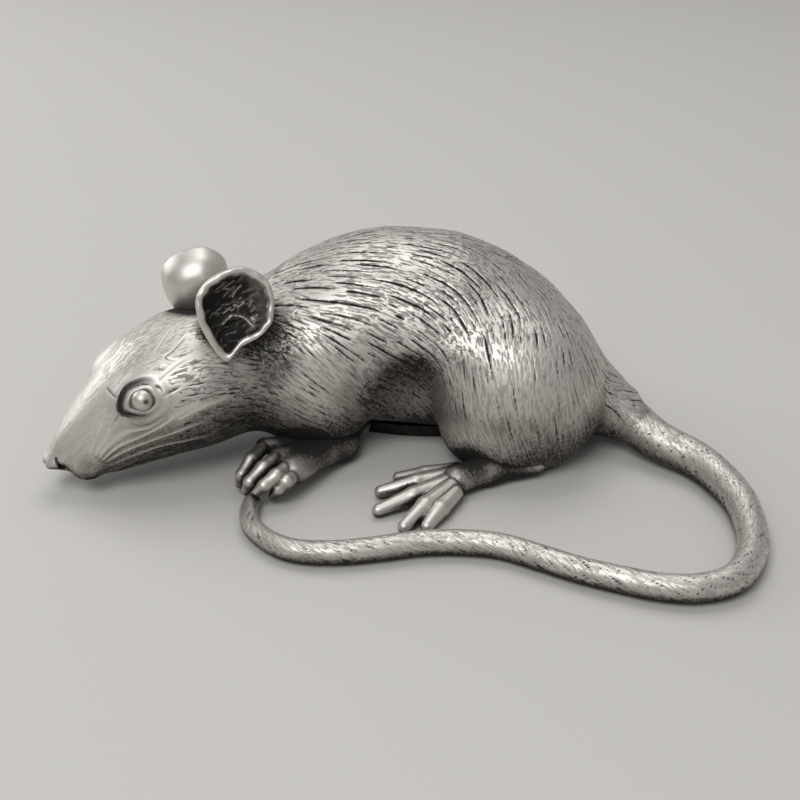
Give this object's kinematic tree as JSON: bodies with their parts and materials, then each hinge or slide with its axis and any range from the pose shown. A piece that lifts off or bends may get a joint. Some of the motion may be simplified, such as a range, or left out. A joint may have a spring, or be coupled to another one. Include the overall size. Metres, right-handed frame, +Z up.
{
  "type": "mouse figurine",
  "caption": "Crouching cast pewter mouse ornament with cupped ears, head turned to its left, and a long tail curled round to its fore paw.",
  "frame": {"origin": "middle of the figurine's outline seen from above, on the plane it stands on", "axes": "-X is the way the mouse's body faces, -Y its left side with the tail, +Z up"},
  "size_m": [0.1096, 0.088, 0.0347],
  "materials": {
    "pewter": "antiqued, dark in the recesses and burnished on the high spots",
    "pin_steel": "plain"
  },
  "bodies": {
    "root": {"body_left_half": "pewter", "body_right_half": "pewter", "belly_plate": "pewter", "head": "pewter", "left_ear": "pewter", "right_ear": "pewter", "left_eye": "pewter", "right_eye": "pewter", "left_foreleg": "pewter", "right_foreleg": "pewter", "left_hind_foot": "pewter", "right_hind_foot": "pewter", "tail": "pewter", "seam_pins": "pin_steel", "neck_pin": "pin_steel", "foreleg_pins": "pin_steel", "hind_foot_pins": "pin_steel", "tail_pin": "pin_steel"}
  },
  "joints": []
}
